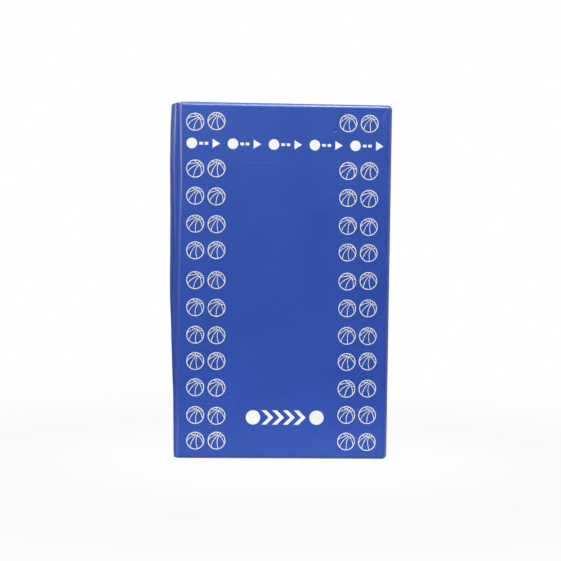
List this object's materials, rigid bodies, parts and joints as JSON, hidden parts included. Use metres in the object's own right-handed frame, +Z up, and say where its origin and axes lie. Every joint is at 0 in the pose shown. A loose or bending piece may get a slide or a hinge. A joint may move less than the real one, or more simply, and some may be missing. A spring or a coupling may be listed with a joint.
{
  "type": "tactics folder",
  "caption": "Vinyl-covered folder that opens like a book on two magnetic write-on court boards, with disc magnets and a dry-wipe marker in its spine.",
  "frame": {"origin": "on the ground, under the middle of the closed, upright folder", "axes": "+Z up along the spine, -Y out of the front cover, -X towards the spine"},
  "size_m": [0.2581, 0.0209, 0.415],
  "materials": {
    "blue_vinyl": "satin embossed vinyl",
    "blue_liner": "satin vinyl",
    "greyboard": "matte board",
    "steel": "tinned sheet",
    "court_white": "gloss write-on film",
    "loop_elastic": "woven elastic",
    "marker_white": "gloss moulded",
    "marker_black": "satin moulded",
    "ink": "felt soaked with ink",
    "felt": "pressed felt",
    "magnet_red": "gloss moulded",
    "magnet_yellow": "gloss moulded",
    "magnet_orange": "satin moulded",
    "ferrite": "matte ferrite"
  },
  "bodies": {
    "rear_cover": {"rear_cover_skin": "blue_vinyl", "rear_cover_board": "greyboard", "rear_steel_sheet": "steel", "rear_court_sheet": "court_white", "rear_liner_frame": "blue_liner"},
    "spine": {"spine_skin": "blue_vinyl", "spine_liner": "blue_liner", "front_hinge_web": "blue_vinyl", "rear_hinge_web": "blue_vinyl", "pen_loop": "loop_elastic"},
    "front_cover": {"front_cover_skin": "blue_vinyl", "front_cover_board": "greyboard", "front_steel_sheet": "steel", "front_court_sheet": "court_white", "front_liner_frame": "blue_liner"},
    "marker": {"marker_barrel": "marker_white", "marker_end_plug": "marker_black", "marker_ink_core": "ink", "marker_nib": "ink"},
    "marker_cap": {"marker_cap": "marker_black", "cap_eraser": "felt"},
    "red_magnet_1": {"red_magnet_1_shell": "magnet_red", "red_magnet_1_core": "ferrite"},
    "red_magnet_2": {"red_magnet_2_shell": "magnet_red", "red_magnet_2_core": "ferrite"},
    "red_magnet_3": {"red_magnet_3_shell": "magnet_red", "red_magnet_3_core": "ferrite"},
    "red_magnet_4": {"red_magnet_4_shell": "magnet_red", "red_magnet_4_core": "ferrite"},
    "red_magnet_5": {"red_magnet_5_shell": "magnet_red", "red_magnet_5_core": "ferrite"},
    "yellow_magnet_1": {"yellow_magnet_1_shell": "magnet_yellow", "yellow_magnet_1_core": "ferrite"},
    "yellow_magnet_2": {"yellow_magnet_2_shell": "magnet_yellow", "yellow_magnet_2_core": "ferrite"},
    "yellow_magnet_3": {"yellow_magnet_3_shell": "magnet_yellow", "yellow_magnet_3_core": "ferrite"},
    "yellow_magnet_4": {"yellow_magnet_4_shell": "magnet_yellow", "yellow_magnet_4_core": "ferrite"},
    "yellow_magnet_5": {"yellow_magnet_5_shell": "magnet_yellow", "yellow_magnet_5_core": "ferrite"},
    "ball_magnet": {"ball_magnet_shell": "magnet_orange", "ball_magnet_core": "ferrite"}
  },
  "joints": [
    {"name": "rear_hinge", "type": "hinge", "parent": "rear_cover", "child": "spine", "pos_m": [-0.11895, 0.0077, 0.2075], "axis": [0, 0, -1], "range_deg": [0, 90]},
    {"name": "front_hinge", "type": "hinge", "parent": "spine", "child": "front_cover", "pos_m": [-0.11895, -0.0077, 0.2075], "axis": [0, 0, -1], "range_deg": [0, 91.9]},
    {"name": "marker_lift", "type": "slide", "parent": "spine", "child": "marker", "axis": [0, 0, 1], "range_m": [0, 0.09]},
    {"name": "cap_pull", "type": "slide", "parent": "marker", "child": "marker_cap", "axis": [0, 0, 1], "range_m": [0, 0.035]},
    {"name": "red_magnet_1_slide", "type": "slide", "parent": "rear_cover", "child": "red_magnet_1", "axis": [0, 0, 1], "range_m": [-0.03, 0.02]},
    {"name": "red_magnet_2_slide", "type": "slide", "parent": "rear_cover", "child": "red_magnet_2", "axis": [0, 0, 1], "range_m": [-0.03, 0.02]},
    {"name": "red_magnet_3_slide", "type": "slide", "parent": "rear_cover", "child": "red_magnet_3", "axis": [0, 0, 1], "range_m": [-0.03, 0.02]},
    {"name": "red_magnet_4_slide", "type": "slide", "parent": "rear_cover", "child": "red_magnet_4", "axis": [0, 0, 1], "range_m": [-0.03, 0.02]},
    {"name": "red_magnet_5_slide", "type": "slide", "parent": "rear_cover", "child": "red_magnet_5", "axis": [0, 0, 1], "range_m": [-0.03, 0.02]},
    {"name": "yellow_magnet_1_slide", "type": "slide", "parent": "rear_cover", "child": "yellow_magnet_1", "axis": [0, 0, 1], "range_m": [-0.02, 0.03]},
    {"name": "yellow_magnet_2_slide", "type": "slide", "parent": "rear_cover", "child": "yellow_magnet_2", "axis": [0, 0, 1], "range_m": [-0.02, 0.03]},
    {"name": "yellow_magnet_3_slide", "type": "slide", "parent": "rear_cover", "child": "yellow_magnet_3", "axis": [0, 0, 1], "range_m": [-0.02, 0.03]},
    {"name": "yellow_magnet_4_slide", "type": "slide", "parent": "rear_cover", "child": "yellow_magnet_4", "axis": [0, 0, 1], "range_m": [-0.02, 0.03]},
    {"name": "yellow_magnet_5_slide", "type": "slide", "parent": "rear_cover", "child": "yellow_magnet_5", "axis": [0, 0, 1], "range_m": [-0.02, 0.03]},
    {"name": "ball_magnet_slide", "type": "slide", "parent": "rear_cover", "child": "ball_magnet", "axis": [0, 0, 1], "range_m": [-0.02, 0.02]}
  ]
}
